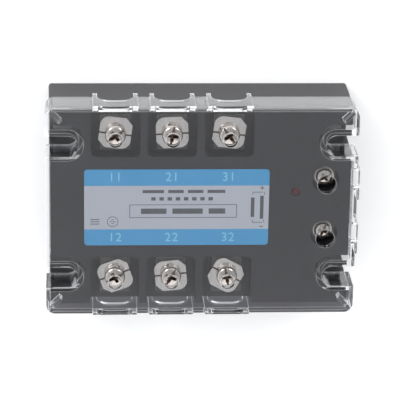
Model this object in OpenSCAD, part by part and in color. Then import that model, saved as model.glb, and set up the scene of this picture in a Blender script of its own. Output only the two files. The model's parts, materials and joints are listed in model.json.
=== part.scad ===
// Three-phase solid state relay for panel mounting, with a clear snap-on cover.
// The base face lies on z = 0, the screws point up, and X runs along the long sides.
// The line terminals are on the +Y side, the load terminals on -Y, the control input on +X.

/* [Housing] */
// Length of the housing at its foot
house_l = 102.3; // [102:0.1:103]
// Width of the housing at its foot
house_w = 70.6; // [70:0.1:71]
// Height of the housing
house_h = 27; // [26.8:0.1:27.2]
// Draft of the housing walls, in degrees
house_draft = 1.5; // [1:0.1:2]
// Radius of the upright corners inside the cover
house_r = 3; // [3:0.1:4]
// Radius of the upright corners below the cover
foot_r = 1; // [0.8:0.1:1.5]
// Thickness of the outer skirt round the base plate
skirt_t = 1.6; // [1.4:0.1:2]

/* [Base plate] */
// Thickness of the aluminium base plate
base_t = 3; // [2.5:0.1:3.2]
// Spacing of the mounting slots along X
mount_x = 90; // [89:0.1:90.4]
// Spacing of the mounting slots along Y
mount_y = 46.4; // [46:0.1:47]
// Width of a mounting slot
mount_d = 4.6; // [4.3:0.1:5]
// Length of a mounting slot, end to end
mount_slot_l = 6.6; // [6:0.1:6.8]

/* [Power terminals] */
// Distance between neighbouring terminals
pitch = 19.05; // [19:0.05:19.1]
// Place of the middle pair of terminals along X
terminal_x = -9.75; // [-10:0.05:-9.5]
// Distance of the terminal screws from the middle line
terminal_y = 25.2; // [25.2:0.1:25.4]
// Width of the bay round each terminal
bay_w = 16.6; // [16.2:0.1:16.8]
// Height of the bay floor
bay_z = 20.6; // [20.4:0.1:20.8]
// Thickness of a busbar
busbar_t = 1.5; // [1.3:0.1:1.6]
// Height of the top face of the busbars
busbar_z = 23.2; // [23:0.1:23.4]
// Diameter of the terminal screw thread
screw_d = 4; // [4:4]
// Length of the terminal screw below its head
screw_l = 8; // [7.6:0.1:8]
// Diameter of the pan head
head_d = 7; // [6.6:0.1:7.2]
// Height of the pan head
head_h = 2.6; // [2.4:0.1:2.7]
// Thickness of the spring washer
spring_t = 1; // [0.8:0.1:1]
// Side of the square clamp plate
plate_s = 10.8; // [10.4:0.1:11.4]
// Thickness of the clamp plate
plate_t = 1.2; // [1:0.1:1.3]
// Offset of the clamp plate from its screw, away from the middle
plate_offset = 0.4; // [0:0.1:0.4]

/* [Input terminals] */
// Place of the input screws along X
input_x = 41.9; // [41.5:0.1:42.2]
// Distance of the input screws from the middle line
input_y = 9.65; // [9.5:0.05:9.8]
// Diameter of the input screw thread
input_d = 3; // [3:3]
// Diameter of the well round an input screw
well_d = 9.4; // [9.2:0.1:9.6]
// Height of the input terminal strips
input_z = 22; // [21.8:0.1:22.2]

/* [Cover] */
// Length of the cover
cover_l = 104.2; // [104:0.1:104.4]
// Width of the cover
cover_w = 72.4; // [72.2:0.1:72.6]
// Height of the top of the cover
cover_h = 33; // [32.8:0.1:33.4]
// Thickness of the top of the cover
cover_top_t = 2; // [1.8:0.1:2.2]
// Thickness of the cover walls
cover_t = 1.3; // [1.2:0.1:1.3]
// Height of the lower rim of the cover
cover_rim_z = 19; // [18.8:0.1:19.4]
// Radius of the upright corners of the cover
cover_r = 3; // [2.5:0.1:3.4]
// Radius of the inner upright corners of the cover
cover_inner_r = 1; // [0.6:0.1:1]
// How far the wire collars stand out on the long sides
collar_y = 0.8; // [0.6:0.1:1]
// How far the wire collars stand out on the input side
collar_x = 0.8; // [0.6:0.1:1]
// Diameter of the test holes over the power screws
test_hole_d = 4.8; // [4.4:0.1:5.2]
// Diameter of the access holes over the input screws
input_hole_d = 6.3; // [6:0.1:6.5]

/* [Label and lamp] */
// Length of the printed label
label_l = 62.2; // [60:0.1:63]
// Width of the printed label
label_w = 27; // [26:0.1:27.5]
// Place of the middle of the label along X
label_x = -8.1; // [-9:0.1:-7]
// Place of the status lamp along X
led_x = 31.9; // [30:0.1:33]
// Place of the status lamp along Y
led_y = 5.3; // [4:0.1:6]

/* [Hidden] */
$fn = 64;

EPS = 0.01;
FAR = 200;
black_abs = [0.13, 0.13, 0.14];
nickel = [0.78, 0.75, 0.72];
tin = [0.34, 0.33, 0.31];

// Phases along X, and the two rows of power terminals: +1 is line, -1 is load
PHASES = [0, 1, 2];
ROWS = [1, -1];
function phase_x(i) = terminal_x + (i - 1) * pitch;

// How far each clamp plate is turned on its screw at rest, for phases a, b and c
line_turns = [-7, 3, -7];
load_turns = [20, 6, -29];

// Inner hollow of the housing: a high middle and two low wings under the bays
hollow_x0 = -38;
hollow_x1 = 34.5;
hollow_w = 31;
hollow_top_z = 25;
wing_w = 66;
wing_top_z = 15.5;
clearance = 0.1;

// Bays, their wire sills and the slots that the busbars rise through
bay_inner_y = 17.8;
bay_r = 2;
pedestal_s = 11.6;
pedestal_z = busbar_z - busbar_t;
riser_slot_t = busbar_t + 0.3;

// Busbars: a tab under the screw, a riser and a foot on the substrate
busbar_w = 10;
riser_y = 19.4;
tab_end_y = 31.7;
foot_end_y = 12;
substrate_l = 40;
substrate_w = 14.5;
substrate_t = 1;
foot_z = base_t + substrate_t;

// M4 and M3 hexagon nuts, across flats and height
m4_nut_af = 7;
m4_nut_h = 3.2;
m3_nut_af = 5.5;
m3_nut_h = 2.4;
nut_gap = 0.1;

plate_z = busbar_z;
washer_z = plate_z + plate_t;
head_z = washer_z + spring_t;

// Clamp plates: two corners cut off straight and two rounded
plate_cut = 2.3;
plate_corner_r = 3.1;
groove_w = 0.6;
groove_deep = 0.5;
input_washer_t = 0.8;

// U-shaped recesses over the mounting slots, open at both ends of the relay
recess_x = 44.8;
recess_y = mount_y / 2;
cover_recess_r = 3.65;
cover_recess_wall = 1.75;
seat_r = cover_recess_r + cover_recess_wall + 0.35;
tool_r = 4.3;
seat_z = cover_rim_z - 0.4;

// Wire arches in the cover walls
arch_w = 12.1;
arch_top_z = 25.6;
arch_r = 4.5;
collar_w = 15;
collar_foot_z = 17.7;
input_arch_w = 8;
input_collar_w = 11.2;

// Input terminals: a strip under the screw, and a narrow leg down to the board
input_strip_t = 1.2;
input_strip_w = 6.4;
input_strip_end_x = 46;
input_leg_w = 2.6;
input_leg_x = hollow_x1 - 1.1;

// Countersunk screws that hold the base plate to the housing
base_screw_d = 2.9;
base_head_d = 5.4;
base_head_h = 1.5;
base_screw_l = 9.5;
base_screw_x = 45.4;
base_screw_y = 7.5;

// Circuit board and the compound below it
board_z = 14;
board_t = 1.6;
board_top_z = board_z + board_t;
pot_top_z = 9.5;

// Printed label, and the two small dimples in the top beside it
label_t = 0.15;
label_corner_r = 1.2;
dimple_x = 45.9;
dimple_d = 1.3;

// Status lamp: a round lens with a domed tip, a flange and two square legs
lamp_d = 3;
lamp_flange_d = 3.8;
lamp_flange_z = 20;
lamp_flange_t = 1;
lamp_tip_z = house_h + 0.4;
lead_w = 0.5;
lead_pitch = 2.54;

// Thyristor chips and their gate pins
chip_l = 8;
chip_w = 7.5;
chip_t = 0.5;
chip_y = 5;
gate_pin_d = 0.8;
gate_pin_x = 2.5;

// Parts on the board: optocouplers, resistors, capacitors and the input diode
opto_l = 8.6;
opto_w = 6.4;
opto_stand = 0.6;
opto_h = 4;
opto_x = -3;
opto_lead_y = 3.5;
resistor_x = [3.6, 6.6];
capacitor_l = 13;
capacitor_w = 5.6;
capacitor_y = 10.2;
capacitor_top_z = 24.2;
diode_x = 26;
diode_y = -9;

// A flat rectangle with round corners
module round_rect(l, w, r) {
    square([l - 2 * r, w], center = true);
    square([l, w - 2 * r], center = true);
    for (x = [-1, 1], y = [-1, 1])
        translate([x * (l / 2 - r), y * (w / 2 - r)]) circle(r);
}

// A block with round upright corners between two heights
module round_block(l, w, r, z0, z1) {
    translate([0, 0, z0]) linear_extrude(z1 - z0) round_rect(l, w, r);
}

// A plain block, centred in X and Y, between two heights
module slab(l, w, z0, z1) {
    translate([-l / 2, -w / 2, z0]) cube([l, w, z1 - z0]);
}

// A block between two places along X, centred in Y, between two heights
module slab_at(x0, x1, w, z0, z1) {
    translate([x0, -w / 2, z0]) cube([x1 - x0, w, z1 - z0]);
}

// A straight round pillar or bore between two heights
module pillar(d, z0, z1) {
    translate([0, 0, z0]) cylinder(d = d, h = z1 - z0);
}

// A hexagon between two heights, sized across its flats
module hexagon(af, z0, z1) {
    translate([0, 0, z0]) cylinder(r = af / sqrt(3), h = z1 - z0, $fn = 6);
}

// Puts children at all four mounting recesses, turned so that +X is outwards
module at_recesses() {
    for (side = [0, 180], y = [-1, 1])
        rotate([0, 0, side]) translate([recess_x, y * recess_y, 0]) children();
}

// A U-shaped block, open towards +X
module recess_block(r, z0, z1) {
    pillar(2 * r, z0, z1);
    translate([0, -r, z0]) cube([FAR, 2 * r, z1 - z0]);
}

// Puts children at a power terminal, turned so that +Y is outwards
module at_terminal(i, row) {
    translate([phase_x(i), row * terminal_y, 0])
        rotate([0, 0, row > 0 ? 0 : 180]) children();
}

// Puts children at every power terminal
module at_terminals() {
    for (i = PHASES, row = ROWS) at_terminal(i, row) children();
}

// Puts children at both input screws
module at_inputs() {
    for (y = [-1, 1]) translate([input_x, y * input_y, 0]) children();
}

// ---- Fixed pieces ----

module base_plate() {
    l = house_l - 2 * skirt_t;
    w = house_w - 2 * skirt_t;
    slot_half = (mount_slot_l - mount_d) / 2;
    color("silver")
    difference() {
        round_block(l - 2 * clearance, w - 2 * clearance, 1.5, 0, base_t);
        for (x = [-1, 1], y = [-1, 1]) translate([x * mount_x / 2, y * mount_y / 2, 0]) {
            for (s = [-1, 1]) translate([s * slot_half, 0, 0]) pillar(mount_d, -1, base_t + 1);
            slab(2 * slot_half, mount_d, -1, base_t + 1);
        }
        base_screw_places() {
            pillar(base_screw_d + 0.3, -1, base_t + 1);
            translate([0, 0, -EPS])
                cylinder(d1 = base_head_d + 0.2, d2 = base_screw_d, h = base_head_h + 0.2);
        }
    }
}

// Puts children at the four screws that hold the base plate
module base_screw_places() {
    for (x = [-1, 1], y = [-1, 1])
        translate([x * base_screw_x, y * base_screw_y, 0]) children();
}

module base_screws() {
    color(nickel)
    base_screw_places() difference() {
        union() {
            translate([0, 0, 0.1]) cylinder(d1 = base_head_d, d2 = base_screw_d, h = base_head_h);
            pillar(base_screw_d, 0.1, base_screw_l);
        }
        for (turn = [0, 90]) rotate([0, 0, turn]) slab(3, 0.6, -1, 0.9);
    }
}

// The outer block of the housing, with its four walls leaning in by the draft
module drafted_block() {
    difference() {
        union() {
            round_block(house_l, house_w, foot_r, 0, seat_z);
            round_block(house_l, house_w, house_r, 0, house_h);
        }
        for (side = [0, 180]) rotate([0, 0, side]) {
            translate([house_l / 2, 0, 0]) rotate([0, -house_draft, 0])
                translate([0, -FAR / 2, -5]) cube([20, FAR, 60]);
            translate([0, house_w / 2, 0]) rotate([house_draft, 0, 0])
                translate([-FAR / 2, 0, -5]) cube([FAR, 20, 60]);
        }
    }
}

module housing() {
    bay_l = house_w / 2 - bay_inner_y + 10;
    color(black_abs)
    difference() {
        drafted_block();
        // Seat of the base plate and the hollow for the electronics
        round_block(house_l - 2 * skirt_t, house_w - 2 * skirt_t, 1.5, -1, base_t);
        slab_at(hollow_x0, hollow_x1, hollow_w, base_t - EPS, hollow_top_z);
        slab_at(hollow_x0, hollow_x1, wing_w, base_t - EPS, wing_top_z);
        // Terminal bays, open outwards above their sills
        at_terminals() {
            difference() {
                translate([0, bay_l / 2 + bay_inner_y - terminal_y, 0])
                    round_block(bay_w, bay_l, bay_r, bay_z, house_h + 1);
                slab(pedestal_s, pedestal_s, bay_z - 1, pedestal_z);
            }
            hexagon(m4_nut_af + 2 * nut_gap, pedestal_z - m4_nut_h - 0.2, house_h);
            pillar(screw_d + 0.6, pedestal_z - m4_nut_h - 1.7, house_h);
            translate([0, riser_y + busbar_t / 2 - terminal_y, 0])
                slab(busbar_w + 0.4, riser_slot_t, wing_top_z - 1, pedestal_z + 1);
        }
        // Mounting recesses: a tool well and a wider seat for the cover
        at_recesses() {
            recess_block(tool_r, base_t - EPS, house_h + 1);
            recess_block(seat_r, seat_z, house_h + 1);
        }
        // Input wells, their wire tunnels, nut pockets and strip slots
        at_inputs() {
            pillar(well_d, input_z - input_strip_t, house_h + 1);
            translate([0, -3.6, input_z - input_strip_t]) cube([20, 7.2, 4.6]);
            hexagon(m3_nut_af + 2 * nut_gap, input_z - input_strip_t - m3_nut_h - 0.2, input_z);
            pillar(input_d + 0.6, input_z - input_strip_t - m3_nut_h - 2.4, input_z);
            slab_at(hollow_x1 - input_x - 1, 0, input_strip_w + 0.4,
                    input_z - input_strip_t, input_z + 0.2);
        }
        // Lamp hole and two small dimples in the top
        translate([led_x, led_y, 0]) pillar(lamp_d + 0.2, hollow_top_z - 1, house_h + 1);
        for (x = [-1, 1]) translate([x * dimple_x, 0, 0])
            pillar(dimple_d, house_h - 0.5, house_h + 1);
        base_screw_places() pillar(base_screw_d + clearance, base_t - 1, base_screw_l + 0.5);
    }
}

module label() {
    color([0.4, 0.62, 0.78])
    translate([label_x, 0, 0])
        round_block(label_l, label_w, label_corner_r, house_h, house_h + label_t);
}

module led() {
    color("darkred")
    translate([led_x, led_y, 0]) {
        pillar(lamp_d, lamp_flange_z + lamp_flange_t, house_h - 0.4);
        intersection() {
            translate([0, 0, lamp_tip_z - lamp_d / 2]) sphere(d = lamp_d);
            pillar(lamp_d, house_h - 0.4, lamp_tip_z + 1);
        }
        pillar(lamp_flange_d, lamp_flange_z, lamp_flange_z + lamp_flange_t);
        for (x = [-1, 1]) translate([x * lead_pitch / 2, 0, 0])
            slab(lead_w, lead_w, board_top_z, lamp_flange_z);
    }
}

module circuit_board() {
    color("darkgreen")
    difference() {
        slab_at(hollow_x0 + 1, hollow_x1 - 0.2, hollow_w - 1, board_z, board_top_z);
        for (y = [-1, 1]) translate([input_leg_x, y * input_y, 0])
            slab(input_strip_t + clearance, 1.6 + clearance, board_z - 1, board_top_z + 1);
    }
}

module substrate(i) {
    color("ivory")
    translate([phase_x(i), 0, 0]) slab(substrate_w, substrate_l, base_t, base_t + substrate_t);
}

// Two thyristor chips back to back for one phase
module thyristors(i) {
    color("gray")
    translate([phase_x(i), 0, 0]) for (y = [-1, 1])
        translate([0, y * chip_y, 0]) slab(chip_l, chip_w, foot_z, foot_z + chip_t);
}

module busbar(i, row) {
    color(tin)
    at_terminal(i, row) difference() {
        union() {
            translate([-busbar_w / 2, riser_y - terminal_y, pedestal_z])
                cube([busbar_w, tab_end_y - riser_y, busbar_t]);
            translate([-busbar_w / 2, riser_y - terminal_y, foot_z])
                cube([busbar_w, busbar_t, pedestal_z - foot_z]);
            translate([-busbar_w / 2, foot_end_y - terminal_y, foot_z])
                cube([busbar_w, riser_y - foot_end_y, busbar_t]);
        }
        pillar(screw_d + 0.6, pedestal_z - 1, busbar_z + 1);
    }
}

module terminal_nuts() {
    color(nickel)
    at_terminals() difference() {
        hexagon(m4_nut_af, pedestal_z - m4_nut_h, pedestal_z);
        pillar(screw_d + 0.1, pedestal_z - m4_nut_h - 1, pedestal_z + 1);
    }
}

module input_nuts() {
    color(nickel)
    at_inputs() difference() {
        hexagon(m3_nut_af, input_z - input_strip_t - m3_nut_h, input_z - input_strip_t);
        pillar(input_d + 0.1, input_z - input_strip_t - m3_nut_h - 1, input_z);
    }
}

// Contact strip under an input screw, bent down to the circuit board
module input_strip(y) {
    color(nickel)
    translate([0, y * input_y, 0]) difference() {
        union() {
            slab_at(hollow_x1 + 0.2, input_strip_end_x, input_strip_w,
                    input_z - input_strip_t, input_z);
            slab_at(input_leg_x - input_strip_t / 2, hollow_x1 + 0.2, input_leg_w,
                    input_z - input_strip_t, input_z);
            translate([input_leg_x, 0, 0])
                slab(input_strip_t, input_leg_w, board_top_z, input_z - input_strip_t);
            translate([input_leg_x, 0, 0]) slab(input_strip_t, 1.6, board_z - 1, board_top_z);
        }
        translate([input_x, 0, 0]) pillar(input_d + 0.4, input_z - 5, input_z + 1);
    }
}

module potting_compound() {
    color([0.25, 0.27, 0.3])
    difference() {
        slab_at(hollow_x0 + 0.1, hollow_x1 - 0.1, wing_w - 0.2, base_t, pot_top_z);
        for (i = PHASES) {
            substrate(i);
            thyristors(i);
            gate_pin_set(i);
            for (row = ROWS) busbar(i, row);
        }
    }
}

// Gate and cathode pins from the chips of one phase up to the circuit board
module gate_pin_set(i) {
    translate([phase_x(i), 0, 0]) for (x = [-1, 1], y = [-1, 1])
        translate([x * gate_pin_x, y * chip_y, 0]) pillar(gate_pin_d, foot_z + chip_t, board_z);
}

module gate_pins() {
    color(nickel)
    for (i = PHASES) gate_pin_set(i);
}

module optocouplers() {
    color([0.9, 0.9, 0.88])
    for (i = PHASES) translate([phase_x(i) + opto_x, 0, 0]) {
        slab(opto_l, opto_w, board_top_z + opto_stand, board_top_z + opto_h);
        for (x = [-1, 0, 1], y = [-1, 1]) translate([x * lead_pitch, y * opto_lead_y, 0])
            slab(lead_w, 0.6, board_top_z, board_top_z + opto_h / 2);
    }
}

// A component lying along X on the board, with two bent wire legs
module axial_part(d, l, lead_d, reach) {
    rod_z = board_top_z + d / 2;
    translate([-l / 2, 0, rod_z]) rotate([0, 90, 0]) cylinder(d = d, h = l);
    translate([-reach, 0, rod_z]) rotate([0, 90, 0]) cylinder(d = lead_d, h = 2 * reach);
    for (x = [-1, 1]) translate([x * reach, 0, 0]) pillar(lead_d, board_top_z, rod_z);
}

module resistors() {
    color("tan")
    for (i = PHASES, x = resistor_x) translate([phase_x(i) + x, 0, 0])
        rotate([0, 0, 90]) axial_part(2.3, 6.8, 0.6, 5);
}

module snubber_capacitors() {
    color("gold")
    for (i = PHASES) translate([phase_x(i), capacitor_y, 0])
        round_block(capacitor_l, capacitor_w, 0.8, board_top_z, capacitor_top_z);
}

module input_diode() {
    color("dimgray")
    translate([diode_x, diode_y, 0]) axial_part(2.7, 5.2, 0.8, 4.6);
}

// ---- Moving pieces ----

// A pan head screw with its shank, standing on the given height
module pan_screw(d, l, head, h, z0, cross_l, cross_w, cross_depth) {
    dome_r = head * 1.05;
    difference() {
        union() {
            pillar(d, z0 - l, z0 + 0.2);
            intersection() {
                pillar(head, z0, z0 + h);
                translate([0, 0, z0 + h - dome_r]) sphere(r = dome_r, $fn = 96);
            }
        }
        for (turn = [0, 90]) rotate([0, 0, turn])
            slab(cross_l, cross_w, z0 + h - cross_depth, z0 + h + 1);
        slab(head + 1, cross_w * 0.9, z0 + h - cross_depth * 0.4, z0 + h + 1);
    }
}

// A split spring washer
module spring_washer(d_in, d_out, z0, t) {
    difference() {
        pillar(d_out, z0, z0 + t);
        pillar(d_in, z0 - 1, z0 + t + 1);
        rotate([0, 0, 60]) translate([0, 0, z0 + t / 2]) rotate([25, 0, 0])
            slab_at(0, d_out, 0.6, -3, 3);
    }
}

// Sets how far the screw slot of each power terminal is turned
function slot_turn(i, row) = 25 + 40 * i + 15 * row;

module power_washer(i, row) {
    color(nickel)
    at_terminal(i, row) spring_washer(screw_d + 0.2, head_d - 0.3, washer_z, spring_t);
}

module power_screw(i, row) {
    color(nickel)
    at_terminal(i, row) rotate([0, 0, slot_turn(i, row)])
        pan_screw(screw_d, screw_l, head_d, head_h, head_z, 4.2, 1, 1.5);
}

// Square clamp plate with two round and two cut corners and a groove across it
module power_plate(i, row) {
    turn = row > 0 ? line_turns[i] : load_turns[i];
    half = plate_s / 2;
    color(nickel)
    at_terminal(i, row) rotate([0, 0, turn]) difference() {
        translate([0, plate_offset, plate_z]) linear_extrude(plate_t) difference() {
            square(plate_s, center = true);
            for (s = [-1, 1]) {
                translate([s * half, s * half]) rotate([0, 0, 45])
                    square(plate_cut * sqrt(2), center = true);
                translate([s * half, -s * half]) difference() {
                    square(2 * plate_corner_r, center = true);
                    translate([-s * plate_corner_r, s * plate_corner_r]) circle(plate_corner_r);
                }
            }
        }
        pillar(screw_d + 0.5, plate_z - 1, plate_z + 3);
        slab(plate_s + 2, groove_w, plate_z + plate_t - groove_deep, plate_z + plate_t + 1);
    }
}

module input_washer(y) {
    color(nickel)
    translate([input_x, y * input_y, 0]) difference() {
        pillar(6.6, input_z, input_z + input_washer_t);
        pillar(input_d + 0.2, input_z - 1, input_z + 2);
    }
}

module input_screw(y) {
    color(nickel)
    translate([input_x, y * input_y, 0]) rotate([0, 0, y > 0 ? 35 : 70])
        pan_screw(input_d, 5.4, 5.9, 2.3, input_z + input_washer_t, 3.4, 0.8, 1.2);
}

// Outline of the cover with its four mounting recesses cut in
module cover_outline() {
    difference() {
        round_rect(cover_l, cover_w, cover_r);
        cover_recesses(cover_recess_r);
    }
}

// Outline of the space inside the walls of the cover, without its recesses
module cover_inside() {
    round_rect(cover_l - 2 * cover_t, cover_w - 2 * cover_t, cover_inner_r);
}

// Four U shapes, open outwards
module cover_recesses(r) {
    at_recesses() {
        circle(r);
        translate([0, -r]) square([FAR, 2 * r]);
    }
}

// Outline of a wire arch, standing upright in the XZ plane
module arch(w, z0, z1, r, depth) {
    rotate([90, 0, 0]) linear_extrude(depth, center = true) {
        translate([-w / 2, z0]) square([w, z1 - r - z0]);
        translate([-w / 2 + r, z0]) square([w - 2 * r, z1 - z0]);
        for (x = [-1, 1]) translate([x * (w / 2 - r), z1 - r]) circle(r);
    }
}

module cover() {
    color([0.85, 0.9, 0.95, 0.35])
    difference() {
        union() {
            translate([0, 0, cover_h - cover_top_t]) linear_extrude(cover_top_t) cover_outline();
            translate([0, 0, cover_rim_z]) linear_extrude(cover_h - cover_rim_z - EPS)
                difference() {
                    cover_outline();
                    difference() {
                        cover_inside();
                        cover_recesses(cover_recess_r + cover_recess_wall);
                    }
                }
            // Collars round the wire arches
            for (i = PHASES, row = ROWS) translate([phase_x(i), row * (cover_w / 2), 0])
                slab(collar_w, 2 * collar_y, collar_foot_z, cover_h - 0.6);
            for (y = [-1, 1]) translate([cover_l / 2, y * input_y, 0])
                slab(2 * collar_x, input_collar_w, collar_foot_z, cover_h - 0.6);
            corner_ribs();
        }
        for (i = PHASES, row = ROWS) translate([phase_x(i), row * cover_w / 2, 0])
            arch(arch_w, collar_foot_z - 1, arch_top_z, arch_r, 8);
        for (y = [-1, 1]) translate([cover_l / 2, y * input_y, 0]) rotate([0, 0, 90])
            arch(input_arch_w, collar_foot_z - 1, arch_top_z, 3, 8);
        // Trims the feet of the collars back to the inner face of the walls
        translate([0, 0, collar_foot_z - 1])
            linear_extrude(cover_rim_z - collar_foot_z + 1) cover_inside();
        at_terminals() pillar(test_hole_d, cover_h - 5, cover_h + 1);
        at_inputs() pillar(input_hole_d, cover_h - 5, cover_h + 1);
    }
}

// Diagonal ribs in the corners of the cover, which stand on the housing
module corner_ribs() {
    rib_l = 5;
    rib_t = 1.2;
    for (x = [-1, 1], y = [-1, 1])
        translate([x * (cover_l / 2 - 3.2), y * (cover_w / 2 - 3.2), 0]) rotate([0, 0, x * y * 45])
            slab(rib_l, rib_t, house_h + 0.1, cover_h - 1);
}

base_plate();
base_screws();
housing();
label();
led();
circuit_board();
potting_compound();
substrate(0);  // substrate_a
substrate(1);  // substrate_b
substrate(2);  // substrate_c
thyristors(0);  // thyristors_a
thyristors(1);  // thyristors_b
thyristors(2);  // thyristors_c
busbar(0, 1);  // line_busbar_a
busbar(1, 1);  // line_busbar_b
busbar(2, 1);  // line_busbar_c
busbar(0, -1);  // load_busbar_a
busbar(1, -1);  // load_busbar_b
busbar(2, -1);  // load_busbar_c
terminal_nuts();
input_nuts();
input_strip(1);  // input_strip_plus
input_strip(-1);  // input_strip_minus
optocouplers();
resistors();
snubber_capacitors();
input_diode();
gate_pins();
power_washer(0, 1);  // line_washer_a
power_washer(1, 1);  // line_washer_b
power_washer(2, 1);  // line_washer_c
power_washer(0, -1);  // load_washer_a
power_washer(1, -1);  // load_washer_b
power_washer(2, -1);  // load_washer_c
power_screw(0, 1);  // line_screw_a
power_screw(1, 1);  // line_screw_b
power_screw(2, 1);  // line_screw_c
power_screw(0, -1);  // load_screw_a
power_screw(1, -1);  // load_screw_b
power_screw(2, -1);  // load_screw_c
power_plate(0, 1);  // line_plate_a
power_plate(1, 1);  // line_plate_b
power_plate(2, 1);  // line_plate_c
power_plate(0, -1);  // load_plate_a
power_plate(1, -1);  // load_plate_b
power_plate(2, -1);  // load_plate_c
input_washer(1);  // input_washer_plus
input_washer(-1);  // input_washer_minus
input_screw(1);  // input_screw_plus
input_screw(-1);  // input_screw_minus
cover();
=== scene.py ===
import json
import math
import bpy
from mathutils import Matrix, Vector


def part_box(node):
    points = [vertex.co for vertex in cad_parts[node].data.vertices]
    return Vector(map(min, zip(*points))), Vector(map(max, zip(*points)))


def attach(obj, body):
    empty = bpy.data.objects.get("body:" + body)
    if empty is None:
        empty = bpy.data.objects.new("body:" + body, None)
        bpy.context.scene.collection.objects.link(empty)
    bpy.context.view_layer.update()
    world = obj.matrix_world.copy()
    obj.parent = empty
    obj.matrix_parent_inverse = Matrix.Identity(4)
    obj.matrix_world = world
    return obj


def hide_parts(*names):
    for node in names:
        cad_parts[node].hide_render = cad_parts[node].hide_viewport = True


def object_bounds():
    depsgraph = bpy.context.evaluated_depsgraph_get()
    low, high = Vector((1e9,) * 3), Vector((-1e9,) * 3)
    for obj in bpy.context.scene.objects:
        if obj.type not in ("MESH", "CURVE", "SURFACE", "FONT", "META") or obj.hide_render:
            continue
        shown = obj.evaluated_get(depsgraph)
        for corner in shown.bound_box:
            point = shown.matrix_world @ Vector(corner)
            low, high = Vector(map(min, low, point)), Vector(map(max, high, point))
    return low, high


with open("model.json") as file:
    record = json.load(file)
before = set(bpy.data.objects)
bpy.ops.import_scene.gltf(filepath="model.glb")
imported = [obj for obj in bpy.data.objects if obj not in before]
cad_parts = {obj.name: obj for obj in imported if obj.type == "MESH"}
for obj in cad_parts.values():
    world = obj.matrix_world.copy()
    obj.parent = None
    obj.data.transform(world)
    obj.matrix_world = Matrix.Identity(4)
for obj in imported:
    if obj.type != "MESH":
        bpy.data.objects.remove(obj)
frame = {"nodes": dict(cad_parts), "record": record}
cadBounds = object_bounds()
nodes = frame["nodes"]
mm = 0.001
phases = ["a", "b", "c"]
rows = ["line", "load"]
print("frame loaded with", len(nodes), "nodes")


# selecting and shaping

def deselectAll():
    if bpy.context.object and bpy.context.object.mode != "OBJECT":
        bpy.ops.object.mode_set(mode="OBJECT")
    bpy.ops.object.select_all(action="DESELECT")


def pick(*objs):
    deselectAll()
    for obj in objs:
        obj.select_set(True)
    bpy.context.view_layer.objects.active = objs[0]


def selectFaces(obj, test):
    # picks faces by their middle and normal, for the next operator
    pick(obj)
    for part in (obj.data.vertices, obj.data.edges, obj.data.polygons):
        part.foreach_set("select", [False] * len(part))
    for face in obj.data.polygons:
        face.select = test(face.center, face.normal)
    bpy.ops.object.mode_set(mode="EDIT")


def applyAll(obj):
    pick(obj)
    for mod in list(obj.modifiers):
        bpy.ops.object.modifier_apply(modifier=mod.name)


def flattenShading(obj, degrees=30):
    # smooth rounded edges while wide flat faces stay flat
    pick(obj)
    bpy.ops.object.shade_smooth_by_angle(angle=math.radians(degrees))
    mod = obj.modifiers.new("normals", "WEIGHTED_NORMAL")
    mod.keep_sharp = True
    bpy.ops.object.modifier_apply(modifier=mod.name)


def settle(obj):
    # puts an object's place into its mesh
    pick(obj)
    bpy.ops.object.transform_apply(location=True, rotation=True, scale=True)


def roundEdges(obj, width, segments=2, skip=None, degrees=35):
    # rounds the outward corners of a mesh, except where skip(middle of edge) says so
    mesh = obj.data
    sides = {}
    for face in mesh.polygons:
        for key in face.edge_keys:
            sides.setdefault(key, []).append(face)
    weights = mesh.attributes.new("bevel_weight_edge", "FLOAT", "EDGE")
    for edge in mesh.edges:
        faces = sides.get(tuple(sorted(edge.vertices)), [])
        if len(faces) != 2:
            continue
        ends = [mesh.vertices[i].co for i in edge.vertices]
        middleOfEdge = (ends[0] + ends[1]) / 2
        along = (faces[1].center - middleOfEdge).normalized()
        outward = along.dot(faces[0].normal) < 0
        sharp = faces[0].normal.angle(faces[1].normal, 0) > math.radians(degrees)
        if outward and sharp and not (skip and skip(middleOfEdge)):
            weights.data[edge.index].value = 1.0
    mod = obj.modifiers.new("edges", "BEVEL")
    mod.width = width
    mod.segments = segments
    mod.limit_method = "WEIGHT"
    mod.use_clamp_overlap = True
    mod.miter_outer = "MITER_ARC"
    applyAll(obj)


def cutWith(obj, cutter, operation="DIFFERENCE"):
    mod = obj.modifiers.new("cut", "BOOLEAN")
    mod.operation = operation
    mod.solver = "EXACT"
    mod.object = cutter
    applyAll(obj)
    bpy.data.objects.remove(cutter, do_unlink=True)


def nodeCopy(nodeName, pieceName):
    # a clean copy of a CAD node, with its loose triangles joined into flat faces
    mesh = nodes[nodeName].data.copy()
    mesh.name = pieceName
    piece = bpy.data.objects.new(pieceName, mesh)
    bpy.context.scene.collection.objects.link(piece)
    mesh.materials.clear()
    pick(piece)
    bpy.ops.mesh.customdata_custom_splitnormals_clear()
    bpy.ops.object.mode_set(mode="EDIT")
    bpy.ops.mesh.select_all(action="SELECT")
    bpy.ops.mesh.remove_doubles(threshold=0.002 * mm)
    bpy.ops.mesh.dissolve_limited(angle_limit=math.radians(0.6))
    bpy.ops.object.mode_set(mode="OBJECT")
    return piece


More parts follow.
